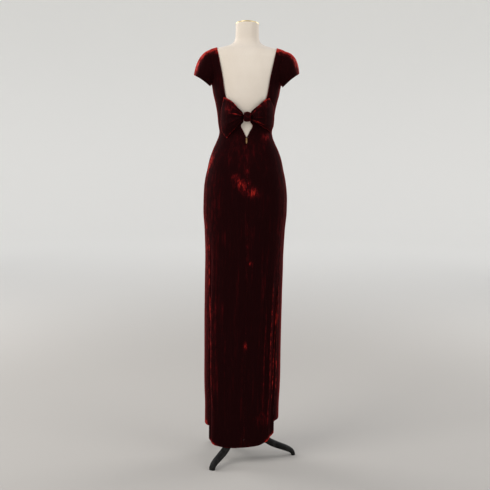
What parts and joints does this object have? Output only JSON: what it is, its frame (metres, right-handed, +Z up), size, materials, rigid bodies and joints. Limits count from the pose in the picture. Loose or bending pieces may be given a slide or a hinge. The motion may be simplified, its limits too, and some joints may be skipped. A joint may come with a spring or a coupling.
{
  "type": "column evening gown on a limbless dress form",
  "caption": "Floor-length velvet column gown with cap sleeves, low back with a bow, keyhole and side slit, standing on a dress form with a tripod base.",
  "frame": {"origin": "on the floor, under the middle of the pole", "axes": "+Z up along the pole; -Y towards the gown's back, +Y towards its front; +X towards the wearer's right"},
  "size_m": [0.4327, 0.3901, 1.7638],
  "materials": {
    "velvet": "matte",
    "form_cover": "matte",
    "cap_brass": "satin",
    "zip_metal": "satin",
    "stand_iron": "satin"
  },
  "bodies": {
    "gown_and_form": {"skirt_front": "velvet", "skirt_back_left": "velvet", "skirt_back_right": "velvet", "bodice_front": "velvet", "bodice_back_left": "velvet", "bodice_back_right": "velvet", "sleeve_left": "velvet", "sleeve_right": "velvet", "bow_left": "velvet", "bow_right": "velvet", "bow_knot": "velvet", "zip_slider": "zip_metal", "form_torso": "form_cover", "neck_cap": "cap_brass", "pole": "stand_iron", "base_hub": "stand_iron", "leg_right": "stand_iron", "leg_far": "stand_iron", "leg_near": "stand_iron"},
    "pull": {"zip_pull": "zip_metal"}
  },
  "joints": [
    {"name": "pull_swing", "type": "hinge", "parent": "gown_and_form", "child": "pull", "pos_m": [0.00402, -0.08543, 1.30715], "axis": [-1, 0, 0], "range_deg": [0, 150]}
  ]
}
